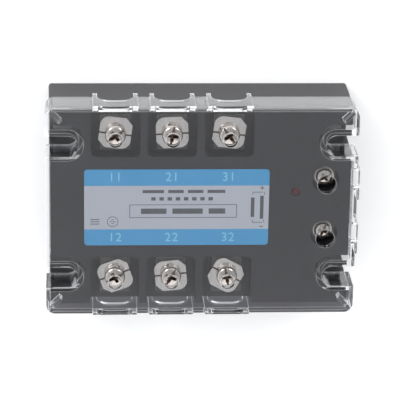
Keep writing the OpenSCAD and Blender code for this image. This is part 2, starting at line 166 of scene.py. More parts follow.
def lathe(name, rings, sides=48):
    # a turned shape: a circle drawn up through (radius, height) rings and closed at both ends
    radius, height = rings[0]
    deselectAll()
    bpy.ops.mesh.primitive_circle_add(
        vertices=sides, radius=radius, fill_type="NGON", location=(0, 0, height)
    )
    piece = bpy.context.object
    piece.name = piece.data.name = name
    settle(piece)
    bpy.ops.object.mode_set(mode="EDIT")
    bpy.ops.mesh.select_mode(type="EDGE")
    bpy.ops.mesh.select_all(action="SELECT")
    for nextRadius, nextHeight in rings[1:]:
        bpy.ops.mesh.extrude_region_move(TRANSFORM_OT_translate={"value": (0, 0, nextHeight - height)})
        grow = nextRadius / radius
        bpy.ops.transform.resize(value=(grow, grow, 1), center_override=(0, 0, nextHeight))
        radius, height = nextRadius, nextHeight
    bpy.ops.mesh.select_all(action="SELECT")
    bpy.ops.mesh.normals_make_consistent(inside=False)
    bpy.ops.object.mode_set(mode="OBJECT")
    return piece


def arcRings(centreR, centreZ, radius, fromDeg, toDeg, steps):
    # rings along an arc of a profile
    angles = [math.radians(fromDeg + (toDeg - fromDeg) * i / steps) for i in range(steps + 1)]
    return [(centreR + radius * math.cos(a), centreZ + radius * math.sin(a)) for a in angles]


def placedCopy(master, pieceName, place, turn=0.0):
    # a copy with its own mesh, turned about Z and put in its place
    pick(master)
    bpy.ops.object.duplicate()
    piece = bpy.context.object
    piece.name = piece.data.name = pieceName
    piece.rotation_euler.z = math.radians(turn)
    piece.location = place
    settle(piece)
    return piece


def middle(nodeName):
    low, high = (Vector(corner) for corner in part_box(nodeName))
    return (low + high) / 2


def setMaterials(piece, *materials):
    slots = piece.data.materials
    for index, material in enumerate(materials):
        if index < len(slots):
            slots[index] = material
        else:
            slots.append(material)


def finishPiece(piece, body, slotName, material, *replaced):
    setMaterials(piece, material)
    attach(piece, body)
    if replaced:
        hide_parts(*replaced)


# shader building

def addNode(tree, kind, values=None, **settings):
    made = tree.nodes.new("ShaderNode" + kind)
    for name, value in settings.items():
        setattr(made, name, value)
    for name, value in (values or {}).items():
        made.inputs[name].default_value = value
    return made


def newGroup(name, inputs, outputs):
    tree = bpy.data.node_groups.new(name, "ShaderNodeTree")
    for socketName, kind, value in inputs:
        socket = tree.interface.new_socket(socketName, in_out="INPUT", socket_type=kind)
        socket.default_value = value
    for socketName, kind in outputs:
        tree.interface.new_socket(socketName, in_out="OUTPUT", socket_type=kind)
    return tree, tree.nodes.new("NodeGroupInput"), tree.nodes.new("NodeGroupOutput")


def useGroup(tree, group, values):
    return addNode(tree, "Group", values, node_tree=group)


def newMaterial(name, **plain):
    material = bpy.data.materials.new(name)
    material.use_nodes = True
    tree = material.node_tree
    shader = tree.nodes["Principled BSDF"]
    for socketName, value in plain.items():
        shader.inputs[socketName.replace("_", " ")].default_value = value
    return material, tree, shader


def feed(tree, value, socket):
    # joins another node's output, or sets a plain value
    if isinstance(value, bpy.types.NodeSocket):
        tree.links.new(value, socket)
    else:
        socket.default_value = value


def mixColours(tree, fac, first, second):
    mix = addNode(tree, "MixRGB")
    feed(tree, fac, mix.inputs["Fac"])
    feed(tree, first, mix.inputs["Color1"])
    feed(tree, second, mix.inputs["Color2"])
    return mix.outputs["Color"]


def multiply(tree, first, second):
    product = addNode(tree, "Math", operation="MULTIPLY")
    tree.links.new(first, product.inputs[0])
    tree.links.new(second, product.inputs[1])
    return product.outputs["Value"]


def mapRange(tree, value, low, high, toLow=0.0, toHigh=1.0):
    limits = {"From Min": low, "From Max": high, "To Min": toLow, "To Max": toHigh}
    ranged = addNode(tree, "MapRange", limits)
    tree.links.new(value, ranged.inputs["Value"])
    return ranged.outputs["Result"]


def placeAxes(tree, kind="Object"):
    # the shaded point's X, Y and Z
    coords = addNode(tree, "TexCoord")
    axes = addNode(tree, "SeparateXYZ")
    tree.links.new(coords.outputs[kind], axes.inputs["Vector"])
    return axes.outputs


def roughenBy(tree, shader, noise, low, high):
    # noise keeps mostly between 0.3 and 0.7
    tree.links.new(mapRange(tree, noise, 0.3, 0.7, low, high), shader.inputs["Roughness"])


def addBump(tree, shader, height, strength, distance):
    bump = addNode(tree, "Bump", {"Strength": strength, "Distance": distance})
    tree.links.new(height, bump.inputs["Height"])
    tree.links.new(bump.outputs["Normal"], shader.inputs["Normal"])


def makeGrainGroup():
    # fine moulded or cast grain, with a slow drift over it
    tree, start, end = newGroup(
        "surfaceGrain",
        [("Scale", "NodeSocketFloat", 900.0), ("Drift Scale", "NodeSocketFloat", 30.0)],
        [("Grain", "NodeSocketFloat"), ("Drift", "NodeSocketFloat")],
    )
    coords = addNode(tree, "TexCoord")
    for scaleName, outName, detail in (("Scale", "Grain", 4.0), ("Drift Scale", "Drift", 2.0)):
        noise = addNode(tree, "TexNoise", {"Detail": detail, "Roughness": 0.6})
        tree.links.new(coords.outputs["Object"], noise.inputs["Vector"])
        tree.links.new(start.outputs[scaleName], noise.inputs["Scale"])
        tree.links.new(noise.outputs["Fac"], end.inputs[outName])
    return tree


def makeBrushGroup():
    # long fine scratches along one direction
    tree, start, end = newGroup(
        "brushedLines",
        [("Stretch", "NodeSocketVector", (40.0, 1600.0, 1600.0))],
        [("Lines", "NodeSocketFloat")],
    )
    coords = addNode(tree, "TexCoord")
    stretch = addNode(tree, "VectorMath", operation="MULTIPLY")
    noise = addNode(tree, "TexNoise", {"Scale": 1.0, "Detail": 3.0, "Roughness": 0.65})
    tree.links.new(coords.outputs["Object"], stretch.inputs[0])
    tree.links.new(start.outputs["Stretch"], stretch.inputs[1])
    tree.links.new(stretch.outputs["Vector"], noise.inputs["Vector"])
    tree.links.new(noise.outputs["Fac"], end.inputs["Lines"])
    return tree


def makeEdgeGroup():
    # worn edges, also the mask for painted edge glow and glint: where a rounded normal leaves the true one,
    # broken up by noise
    tree, start, end = newGroup(
        "edgeWearAndGlow",
        [("Radius", "NodeSocketFloat", 0.0004), ("Amount", "NodeSocketFloat", 0.6)],
        [("Wear", "NodeSocketFloat"), ("Edge", "NodeSocketFloat")],
    )
    rounded = addNode(tree, "Bevel", samples=4)
    trueNormal = addNode(tree, "NewGeometry")
    compare = addNode(tree, "VectorMath", operation="DOT_PRODUCT")
    tree.links.new(start.outputs["Radius"], rounded.inputs["Radius"])
    tree.links.new(rounded.outputs["Normal"], compare.inputs[0])
    tree.links.new(trueNormal.outputs["Normal"], compare.inputs[1])
    # the dot product is 1 on a flat face and less near an edge
    edge = mapRange(tree, compare.outputs["Value"], 0.99, 0.8)
    coords = addNode(tree, "TexCoord")
    noise = addNode(tree, "TexNoise", {"Scale": 260.0, "Detail": 3.0})
    tree.links.new(coords.outputs["Object"], noise.inputs["Vector"])
    broken = mapRange(tree, noise.outputs["Fac"], 0.35, 0.65)
    wear = multiply(tree, multiply(tree, edge, broken), start.outputs["Amount"])
    tree.links.new(wear, end.inputs["Wear"])
    tree.links.new(edge, end.inputs["Edge"])
    return tree


grainGroup = makeGrainGroup()
brushGroup = makeBrushGroup()
edgeGroup = makeEdgeGroup()


# finishes

def makeMoulding():
    look = {
        "deep": (0.006, 0.006, 0.008, 1),
        "pale": (0.013, 0.013, 0.016, 1),
        "worn": (0.06, 0.06, 0.062, 1),
        "rough": (0.36, 0.5),
        "grainScale": 2600.0,
        "grainDepth": 0.04 * mm,
    }
    material, tree, shader = newMaterial("blackMoulding", Specular_IOR_Level=0.5)
    grain = useGroup(tree, grainGroup, {"Scale": look["grainScale"], "Drift Scale": 40.0})
    wear = useGroup(tree, edgeGroup, {"Radius": 0.35 * mm, "Amount": 0.5})
    body = mixColours(tree, grain.outputs["Drift"], look["deep"], look["pale"])
    worn = mixColours(tree, wear.outputs["Wear"], body, look["worn"])
    tree.links.new(worn, shader.inputs["Base Color"])
    roughenBy(tree, shader, grain.outputs["Grain"], *look["rough"])
    addBump(tree, shader, grain.outputs["Grain"], 0.25, look["grainDepth"])
    return material


def makeClear():
    look = {
        "tint": (0.985, 0.99, 1.0, 1),
        "shadowTint": (0.93, 0.935, 0.94, 1),
        "rough": 0.012,
        "edgeRough": 0.1,
        "ior": 1.57,
        "paintedEdgeGlow": 0.36,
        "edgeReach": 0.4 * mm,
    }
    material, tree, shader = newMaterial(
        "clearPlastic",
        Base_Color=look["tint"],
        Roughness=look["rough"],
        IOR=look["ior"],
        Transmission_Weight=1.0,
        Emission_Strength=look["paintedEdgeGlow"],
    )
    grain = useGroup(tree, grainGroup, {"Scale": 90.0, "Drift Scale": 25.0})
    addBump(tree, shader, grain.outputs["Drift"], 0.25, 0.02 * mm)
    # painted highlight: cut and moulded edges glow pale in place of the light they gather, and their
    # roughness rises
    edge = useGroup(tree, edgeGroup, {"Radius": look["edgeReach"], "Amount": 1.0})
    tree.links.new(edge.outputs["Edge"], shader.inputs["Emission Color"])
    spread = mapRange(tree, edge.outputs["Edge"], 0, 1, look["rough"], look["edgeRough"])
    tree.links.new(spread, shader.inputs["Roughness"])
    # lamps shine through the cover onto what is under it
    path = addNode(tree, "LightPath")
    clear = addNode(tree, "BsdfTransparent", {"Color": look["shadowTint"]})
    mix = addNode(tree, "MixShader")
    tree.links.new(path.outputs["Is Shadow Ray"], mix.inputs["Fac"])
    tree.links.new(shader.outputs["BSDF"], mix.inputs[1])
    tree.links.new(clear.outputs["BSDF"], mix.inputs[2])
    tree.links.new(mix.outputs["Shader"], tree.nodes["Material Output"].inputs["Surface"])
    return material


def makeMetal(name, dark, light, rough, lines, wear=0.0, bump=0.15, edgeGlint=None):
    # brushed or plated metal: streaks drive its colour and roughness
    material, tree, shader = newMaterial(name, Metallic=1.0)
    brush = useGroup(tree, brushGroup, {"Stretch": lines})
    colour = mixColours(tree, brush.outputs["Lines"], dark, light)
    if wear:
        edge = useGroup(tree, edgeGroup, {"Radius": 0.25 * mm, "Amount": wear})
        brighter = tuple(min(1, 1.15 * c) for c in light[:3]) + (1,)
        # with edgeGlint given, the worn edges are painted as a bright glint
        colour = mixColours(tree, edge.outputs["Wear"], colour, edgeGlint or brighter)
    tree.links.new(colour, shader.inputs["Base Color"])
    roughenBy(tree, shader, brush.outputs["Lines"], rough - 0.05, rough + 0.08)
    addBump(tree, shader, brush.outputs["Lines"], bump, 0.01 * mm)
    return material


def makeGrainy(name, dark, light, rough, scale=700.0, bump=0.2, coat=0.0, depth=0.03, shine=0.5):
    # a moulded, cast or lacquered surface in two close shades
    material, tree, shader = newMaterial(
        name, Coat_Weight=coat, Coat_Roughness=0.15, Specular_IOR_Level=shine
    )
    grain = useGroup(tree, grainGroup, {"Scale": scale, "Drift Scale": 60.0})
    tree.links.new(mixColours(tree, grain.outputs["Drift"], dark, light), shader.inputs["Base Color"])
    roughenBy(tree, shader, grain.outputs["Grain"], rough - 0.06, rough + 0.06)
    addBump(tree, shader, grain.outputs["Grain"], bump, depth * mm)
    return material


def makeLabelPrint():
    # blue bands above and below a silver-grey field, edges set from the label's own box
    look = {
        "blue": (0.026, 0.225, 0.44, 1),
        "blueLight": (0.034, 0.25, 0.475, 1),
        "silver": (0.32, 0.34, 0.385, 1),
        "silverLight": (0.37, 0.39, 0.435, 1),
        "bandShare": 0.213,  # each band's share of the label's width
        "blur": 0.03 * mm,
    }
    low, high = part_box("label")
    bandEdge = (high[1] - low[1]) * (0.5 - look["bandShare"])
    material, tree, shader = newMaterial("labelPrint", Coat_Weight=0.4, Coat_Roughness=0.2)
    side = addNode(tree, "Math", operation="ABSOLUTE")
    tree.links.new(placeAxes(tree)["Y"], side.inputs[0])
    inBand = mapRange(tree, side.outputs["Value"], bandEdge - look["blur"], bandEdge + look["blur"])
    grain = useGroup(tree, grainGroup, {"Scale": 3000.0, "Drift Scale": 70.0})
    blue = mixColours(tree, grain.outputs["Drift"], look["blue"], look["blueLight"])
    silver = mixColours(tree, grain.outputs["Grain"], look["silver"], look["silverLight"])
    tree.links.new(mixColours(tree, inBand, silver, blue), shader.inputs["Base Color"])
    roughenBy(tree, shader, grain.outputs["Drift"], 0.32, 0.42)
    addBump(tree, shader, grain.outputs["Grain"], 0.08, 0.01 * mm)
    return material


def makeBanded(name, body, bands, axis, centre, length, rough):
    # rings of colour round a small part's body, each from and to a share of its length
    material, tree, shader = newMaterial(name, Coat_Weight=0.5, Coat_Roughness=0.2)
    ramp = addNode(tree, "ValToRGB")
    ramp.color_ramp.interpolation = "CONSTANT"
    along = mapRange(tree, placeAxes(tree)[axis], centre - length / 2, centre + length / 2)
    tree.links.new(along, ramp.inputs["Fac"])
    points = ramp.color_ramp.elements
    points[0].color = body
    for start, end, colour in bands:
        points.new(start).color = colour
        points.new(end).color = body
    tree.links.new(ramp.outputs["Color"], shader.inputs["Base Color"])
    grain = useGroup(tree, grainGroup, {"Scale": 1500.0})
    roughenBy(tree, shader, grain.outputs["Grain"], rough - 0.05, rough + 0.05)
    addBump(tree, shader, grain.outputs["Grain"], 0.1, 0.02 * mm)
    return material


# bands of colour, each from and to a share of the body's length
resistorBands = [
    (0.2, 0.29, (0.25, 0.06, 0.02, 1)),
    (0.38, 0.47, (0.01, 0.01, 0.01, 1)),
    (0.56, 0.65, (0.6, 0.08, 0.02, 1)),
    (0.78, 0.87, (0.5, 0.36, 0.1, 1)),
]
diodeBand = (0.72, 0.86, (0.6, 0.6, 0.6, 1))
# each finish: its name, dark and light shades, roughness, then how fine its grain or lines are
finishes = {
    "black_moulding": makeMoulding(),
    "clear_cover": makeClear(),
    "aluminium_plate": makeMetal(
        "brushedAluminium", (0.55, 0.56, 0.58, 1), (0.72, 0.73, 0.75, 1), 0.34, (30.0, 1500.0, 1500.0),
        wear=0.5,
    ),
    "zinc_steel": makeMetal(
        "zincSteel", (0.5, 0.5, 0.47, 1), (0.68, 0.68, 0.66, 1), 0.3, (700.0, 700.0, 300.0), wear=0.4
    ),
    "printed_label": makeLabelPrint(),
    "red_lens": makeGrainy(
        "redLens", (0.05, 0.003, 0.008, 1), (0.075, 0.005, 0.012, 1), 0.4, 400.0, bump=0.05, shine=0.15
    ),
    "board": makeGrainy(
        "boardGreen", (0.01, 0.09, 0.035, 1), (0.018, 0.14, 0.05, 1), 0.35, 1800.0, coat=0.4
    ),
    "potting": makeGrainy(
        "pottingBlack", (0.012, 0.013, 0.016, 1), (0.03, 0.032, 0.036, 1), 0.25, 120.0,
        bump=0.4, coat=0.2, depth=0.2,
    ),
    "ceramic": makeGrainy("whiteCeramic", (0.72, 0.7, 0.65, 1), (0.82, 0.8, 0.76, 1), 0.45, 1600.0),
    "silicon": makeGrainy(
        "siliconChip", (0.08, 0.085, 0.1, 1), (0.16, 0.165, 0.19, 1), 0.2, 500.0, bump=0.05, coat=0.6
    ),
    # painted shade and glint: this tin is darkened to the shade it lies in under the clamp plates and
    # washers, and its worn edges are painted as a bright glint
    "dark_tinned_copper": makeMetal(
        "paintedShadeTinnedCopper", (0.07, 0.068, 0.066, 1), (0.12, 0.115, 0.11, 1), 0.3, (900.0, 60.0, 900.0),
        wear=0.8, edgeGlint=(0.62, 0.6, 0.57, 1),
    ),
    "white_chip": makeGrainy("whiteChip", (0.66, 0.66, 0.62, 1), (0.78, 0.78, 0.74, 1), 0.5, 900.0),
    "resistor_body": makeBanded(
        "resistorBody", (0.58, 0.42, 0.24, 1), resistorBands, "Y", 0, 6.8 * mm, 0.35
    ),
    "capacitor_case": makeGrainy(
        "capacitorCase", (0.55, 0.32, 0.03, 1), (0.62, 0.38, 0.05, 1), 0.3, 600.0, bump=0.1, coat=0.5
    ),
    "black_epoxy": makeBanded(
        "blackEpoxy", (0.015, 0.015, 0.015, 1), [diodeBand], "X", middle("input_diode").x, 5.2 * mm, 0.4
    ),
    "nickel_screw": makeMetal(
        "nickelScrew", (0.5, 0.455, 0.42, 1), (0.64, 0.59, 0.55, 1), 0.14, (500.0, 500.0, 160.0),
        wear=0.5, bump=0.08,
    ),
    "nickel_plate": makeMetal(
        "nickelPlate", (0.7, 0.67, 0.635, 1), (0.8, 0.77, 0.735, 1), 0.17, (900.0, 70.0, 900.0),
        wear=0.6, bump=0.08,
    ),
}
# painted shade for the insides of the screw recesses and the plate grooves
recessShade = makeMetal(
    "recessShade", (0.09, 0.06, 0.045, 1), (0.2, 0.14, 0.1, 1), 0.3, (600.0, 600.0, 600.0), bump=0.1
)
printPaleBlue = makeGrainy(
    "printPaleBlue", (0.17, 0.42, 0.58, 1), (0.2, 0.46, 0.62, 1), 0.4, 2400.0, bump=0.05
)
printDarkGrey = makeGrainy(
    "printDarkGrey", (0.045, 0.048, 0.055, 1), (0.07, 0.073, 0.08, 1), 0.4, 2400.0, bump=0.05
)
for entry in frame["record"]["subparts"]:
    slots = nodes[entry["node"]].data.materials
    slots.clear()
    slots.append(finishes[entry["material_slot"]])
print("finishes made:", len(finishes))


# housing

housingEdges = {"round": 0.25 * mm, "segments": 2}


def makeHousing():
    piece = nodeCopy("housing", "housingShell")
    roundEdges(piece, housingEdges["round"], housingEdges["segments"])
    flattenShading(piece)
    finishPiece(piece, "base", "black_moulding", finishes["black_moulding"], "housing")


makeHousing()
print("housing made")


# clear cover

coverEdges = {
    "round": 0.3 * mm,
    "segments": 3,
    "smoothBelow": 40,  # degrees between two faces
    "ribZone": (46 * mm, 30 * mm, 31.5 * mm),  # beyond this X and Y, and below this Z
    "ribReach": (2.9 * mm, 3.4 * mm),
    "footHeight": 0.2 * mm,
}
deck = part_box("housing")[1][2]


def nearRibs(place):
    # the small corners where the ribs meet the walls stay sharp, their feet do not
    zoneX, zoneY, zoneTop = coverEdges["ribZone"]
    reachX, reachY = coverEdges["ribReach"]
    if abs(place.x) > zoneX and abs(place.y) > zoneY and deck < place.z < zoneTop:
        foot = place.z < deck + coverEdges["footHeight"]
        inward = abs(place.x) < zoneX + reachX and abs(place.y) < zoneY + reachY
        return not (foot and inward)
    return False


def makeCover():
    piece = nodeCopy("cover", "coverShell")
    roundEdges(piece, coverEdges["round"], coverEdges["segments"], nearRibs)
    flattenShading(piece, coverEdges["smoothBelow"])
    finishPiece(piece, "cover", "clear_cover", finishes["clear_cover"], "cover")


makeCover()
print("cover made")


# screws

powerScrew = {
    "headR": 3.5 * mm,
    "headH": 2.6 * mm,
    "sideH": 1.1 * mm,
    "shoulderR": 1.05 * mm,
    "shankR": 2.0 * mm,
    "shankL": 8.0 * mm,
    "pitch": 0.7 * mm,
    "cross": (4.9 * mm, 1.35 * mm, 1.7 * mm),  # length, width and depth of the cross recess
    "slot": (0.8 * mm, 0.9 * mm),  # width and depth of the slot across the head
    "turns": {"line": (35, 80, 125), "load": (28, 62, 100)},  # how far each was turned, in degrees
}
inputScrew = {
    "headR": 2.95 * mm,
    "headH": 2.3 * mm,
    "sideH": 0.95 * mm,
    "shoulderR": 0.9 * mm,
    "shankR": 1.5 * mm,
    "shankL": 5.4 * mm,
    "pitch": 0.5 * mm,
    "cross": (3.7 * mm, 1.1 * mm, 1.4 * mm),
    "slot": (0.7 * mm, 0.75 * mm),
    "turns": {"plus": 35, "minus": 70},
}
threadCut = {
    "depth": 0.6,  # of the pitch
    "flank": 2.4,  # how steeply a tooth rises
    "runout": 0.6 * mm,  # plain shank left under the head
    "tipDepth": 0.4,  # of the full depth, at the tip
    "rowsPerTurn": 6,
}


def cutThread(piece, screw):
    # pulls the shank's skin in along a helix, running out at both ends
    pitch = screw["pitch"]
    start, stop = -screw["shankL"], -threadCut["runout"]
    for vert in piece.data.vertices:
        place = vert.co
        reach = math.hypot(place.x, place.y)
        if not start <= place.z <= stop or reach < 0.98 * screw["shankR"]:
            continue
        turned = (place.z / pitch - math.atan2(place.y, place.x) / (2 * math.pi)) % 1
        tooth = max(0, 1 - abs(turned - 0.5) * threadCut["flank"])
        fade = min(1, (stop - place.z) / pitch, (place.z - start) / pitch + threadCut["tipDepth"])
        shrink = 1 - threadCut["depth"] * pitch * fade * (1 - tooth) / reach
        place.x *= shrink
        place.y *= shrink


def taperedBar(length, width, depth, top, foot, turn):
    # a driver's wing: a block whose foot is smaller than its top, which stands clear of the head
    clear = 1 * mm
    deselectAll()
    bpy.ops.mesh.primitive_cube_add(size=1, location=(0, 0, top + (clear - depth) / 2))
    bar = bpy.context.object
    bar.scale = (length, width, depth + clear)
    settle(bar)
    selectFaces(bar, lambda centre, normal: normal.z < -0.9)
    bpy.ops.transform.resize(value=(foot, foot, 1), center_override=(0, 0, top - depth))
    bpy.ops.mesh.select_all(action="SELECT")
    bpy.ops.transform.rotate(value=math.radians(-turn), orient_axis="Z", center_override=(0, 0, 0))
    bpy.ops.object.mode_set(mode="OBJECT")
    return bar


driveCut = {
    "crossFoot": 0.68,  # the foot's size as a share of the top's
    "slotFoot": 0.9,
    "round": 0.09 * mm,
    "sharpAbove": 40,  # degrees between two faces
}


def makeScrew(name, screw):
    # one screw with its head's underside on z = 0
    top, side, shoulder = screw["headH"], screw["sideH"], screw["shoulderR"]
    headR, shankR, tip = screw["headR"], screw["shankR"], -screw["shankL"]
    # a blunt tip, then close rings for the thread
    step = screw["pitch"] / threadCut["rowsPerTurn"]
    threadRows = int((-tip - 0.5 * mm) / step)
    rings = [(0.55 * shankR, tip), (0.85 * shankR, tip + 0.2 * mm)]
    rings += [(shankR, tip + 0.4 * mm + i * step) for i in range(threadRows)]
    # the underside of the head and its rounded lower edge
    lip = 0.25 * mm
    rings += [(shankR, -0.02 * mm), (headR - lip, 0.0)]
    rings += [(headR - 0.28 * lip, 0.24 * lip), (headR, lip)]
    # the rounded shoulder, and a low dome over it
    rings += arcRings(headR - shoulder, side, shoulder, 0, 72, 8)
    domeR, domeZ = rings[-1]
    rings += [(domeR * k, domeZ + (top - domeZ) * (1 - k * k)) for k in (0.8, 0.6, 0.4, 0.2)]
    piece = lathe(name, rings)
    cutThread(piece, screw)
    setMaterials(piece, finishes["nickel_screw"], recessShade)
    length, width, depth = screw["cross"]
    slotW, slotDepth = screw["slot"]
    # each cut's length, width, depth, foot and turn
    wings = [
        (length, width, depth, driveCut["crossFoot"], 0),
        (length, width, depth, driveCut["crossFoot"], 90),
        (2.2 * headR, slotW, slotDepth, driveCut["slotFoot"], 0),
    ]
    for wingL, wingW, wingDepth, foot, turn in wings:
        bar = taperedBar(wingL, wingW, wingDepth, top, foot, turn)
        # the walls each cut leaves take the painted recess shade
        setMaterials(bar, finishes["nickel_screw"], recessShade)
        for face in bar.data.polygons:
            face.material_index = 1
        cutWith(piece, bar)
    roundEdges(piece, driveCut["round"], 2, lambda place: place.z < side, driveCut["sharpAbove"])
    flattenShading(piece, 50)
    return piece


def placeScrew(master, nodeName, pieceName, washerName, turn):
    # a copy with its head's underside on its washer
    place = middle(nodeName)
    place.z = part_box(washerName)[1][2]
    piece = placedCopy(master, pieceName, place, turn)
    finishPiece(piece, nodeName, "nickel_screw", finishes["nickel_screw"], nodeName)


def placeScrews():
    master = makeScrew("powerScrewMaster", powerScrew)
    for row in rows:
        for phase, turn in zip(phases, powerScrew["turns"][row]):
            nodeName = row + "_screw_" + phase
            placeScrew(master, nodeName, row + "Screw" + phase.upper(), row + "_washer_" + phase, turn)
    bpy.data.objects.remove(master, do_unlink=True)
    master = makeScrew("inputScrewMaster", inputScrew)
    for sign, turn in inputScrew["turns"].items():
        placeScrew(master, "input_screw_" + sign, "inputScrew" + sign.title(), "input_washer_" + sign, turn)
    bpy.data.objects.remove(master, do_unlink=True)


placeScrews()
print("screws made")


# pieces that keep the node's own shape, with softened edges

softEdges = {  # how wide the rounding is
    "plate": 0.14 * mm,
    "busbar": 0.2 * mm,
    "inputStrip": 0.12 * mm,
    "basePlate": 0.3 * mm,
    "label": 0.05 * mm,
}


def softenedNode(nodeName, pieceName, body, slotName, width, shadeIn=None):
    piece = nodeCopy(nodeName, pieceName)
    if shadeIn:
        shadeIn(piece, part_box(nodeName)[1][2])
    roundEdges(piece, width)
    flattenShading(piece)
    finishPiece(piece, body, slotName, finishes[slotName], nodeName)


# spring washers and clamp plates

springWasher = {
    "inner": 2.15 * mm,
    "outer": 3.35 * mm,
    "thick": 0.86 * mm,
    "rise": 0.12 * mm,
    "sweep": 346,
    "steps": 60,
    "round": 0.1 * mm,
    "turns": (70, 115, 160),  # where each phase's split points
}
plateGrooves = {"floorBelow": 0.2 * mm, "wallBelow": 0.4 * mm}


def makeSpringWasher():
    # a square wire wound through most of a turn, with a small rise between its two ends
    deselectAll()
    bpy.ops.mesh.primitive_plane_add(size=1, rotation=(math.pi / 2, 0, 0))
    piece = bpy.context.object
    piece.name = piece.data.name = "springWasherMaster"
    wide = springWasher["outer"] - springWasher["inner"]
    piece.scale = (wide, springWasher["thick"], 1)
    piece.location = (springWasher["inner"] + wide / 2, 0, springWasher["thick"] / 2)
    settle(piece)
    bpy.ops.object.mode_set(mode="EDIT")
    bpy.ops.mesh.select_all(action="SELECT")
    bpy.ops.mesh.delete(type="ONLY_FACE")
    bpy.ops.object.mode_set(mode="OBJECT")
    mod = piece.modifiers.new("wind", "SCREW")
    mod.angle = math.radians(springWasher["sweep"])
    mod.screw_offset = springWasher["rise"]
    mod.steps = mod.render_steps = springWasher["steps"]
    applyAll(piece)
    bpy.ops.object.mode_set(mode="EDIT")
    bpy.ops.mesh.select_all(action="SELECT")
    bpy.ops.mesh.fill_holes(sides=4)
    bpy.ops.mesh.select_all(action="SELECT")
    bpy.ops.mesh.normals_make_consistent(inside=False)
    bpy.ops.object.mode_set(mode="OBJECT")
    roundEdges(piece, springWasher["round"])
    flattenShading(piece)
    return piece


def shadeGrooves(piece, top):
    # painted shade: the plate's grooves are darker than its top
    setMaterials(piece, finishes["nickel_plate"], recessShade)
    for face in piece.data.polygons:
        up, height = face.normal.z, face.center.z
        floorOfGroove = up > 0.9 and height < top - plateGrooves["floorBelow"]
        wallOfGroove = abs(up) < 0.1 and height > top - plateGrooves["wallBelow"]
        face.material_index = int(floorOfGroove or wallOfGroove)


def placeWashersAndPlates():
    ring = makeSpringWasher()
    plateEdge = softEdges["plate"]
    for row in rows:
        for phase, turn in zip(phases, springWasher["turns"]):
            nodeName = row + "_washer_" + phase
            place = middle(row + "_screw_" + phase)
            place.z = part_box(nodeName)[0][2]
            piece = placedCopy(ring, row + "SpringWasher" + phase.upper(), place, turn)
            finishPiece(piece, nodeName, "nickel_plate", finishes["nickel_plate"], nodeName)
            nodeName = row + "_plate_" + phase
            pieceName = row + "ClampPlate" + phase.upper()
            softenedNode(nodeName, pieceName, nodeName, "nickel_plate", plateEdge, shadeGrooves)
    bpy.data.objects.remove(ring, do_unlink=True)
    for sign in ("plus", "minus"):
        nodeName = "input_washer_" + sign
        softenedNode(nodeName, "inputWasher" + sign.title(), nodeName, "nickel_plate", plateEdge)


placeWashersAndPlates()
print("washers and plates made")


# busbars, input strips, base plate and label film

def softenBasePieces():
    for row in rows:
        for phase in phases:
            nodeName = row + "_busbar_" + phase
            pieceName = row + "Busbar" + phase.upper()
            softenedNode(nodeName, pieceName, "base", "dark_tinned_copper", softEdges["busbar"])
    for sign in ("plus", "minus"):
        nodeName = "input_strip_" + sign
        pieceName = "inputStrip" + sign.title()
        softenedNode(nodeName, pieceName, "base", "dark_tinned_copper", softEdges["inputStrip"])
    softenedNode("base_plate", "basePlate", "base", "aluminium_plate", softEdges["basePlate"])
    softenedNode("label", "labelFilm", "base", "printed_label", softEdges["label"])


softenBasePieces()
print("busbars, strips, base plate and label film made")


# status lamp

lamp = {
    "radius": 1.5 * mm,
    "rimRadius": 1.9 * mm,
    "rimStart": 4.4 * mm,  # above the board
    "rimHeight": 1.0 * mm,
    "rimRound": 0.1 * mm,
    "legSide": 0.5 * mm,
    "legApart": 2.54 * mm,
    "legSink": 0.02 * mm,  # how far the legs reach into the rim
    "legRound": 0.08 * mm,
}


def makeLamp():
    # a lens with a domed tip, its rim and two square legs
    low, high = (Vector(corner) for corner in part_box("led"))
    centre = (low + high) / 2
    rimLow = low.z + lamp["rimStart"]
    rimTop = rimLow + lamp["rimHeight"]
    radius, rim, soft = lamp["radius"], lamp["rimRadius"], lamp["rimRound"]
    rings = [(rim - soft, rimLow), (rim, rimLow + soft), (rim, rimTop - soft), (rim - soft, rimTop)]
    rings += [(radius, rimTop)]
    rings += arcRings(0, high.z - radius, radius, 0, 84, 9)
    piece = lathe("lampLens", rings, 40)
    piece.location = (centre.x, centre.y, 0)
    settle(piece)
    flattenShading(piece, 40)
    finishPiece(piece, "base", "red_lens", finishes["red_lens"], "led")
    legs = []
    for side in (-1, 1):
        x = centre.x + side * lamp["legApart"] / 2
        z = (low.z + rimLow) / 2 + lamp["legSink"]
        deselectAll()
        bpy.ops.mesh.primitive_cube_add(size=1, location=(x, centre.y, z))
        leg = bpy.context.object
        leg.scale = (lamp["legSide"], lamp["legSide"], rimLow - low.z)
        settle(leg)
        legs.append(leg)
    pick(*legs)
    bpy.ops.object.join()
    pair = bpy.context.object
    pair.name = pair.data.name = "lampLegs"
    roundEdges(pair, lamp["legRound"])
    flattenShading(pair)
    finishPiece(pair, "base", "dark_tinned_copper", finishes["dark_tinned_copper"])


makeLamp()
print("lamp made")


# print on the label

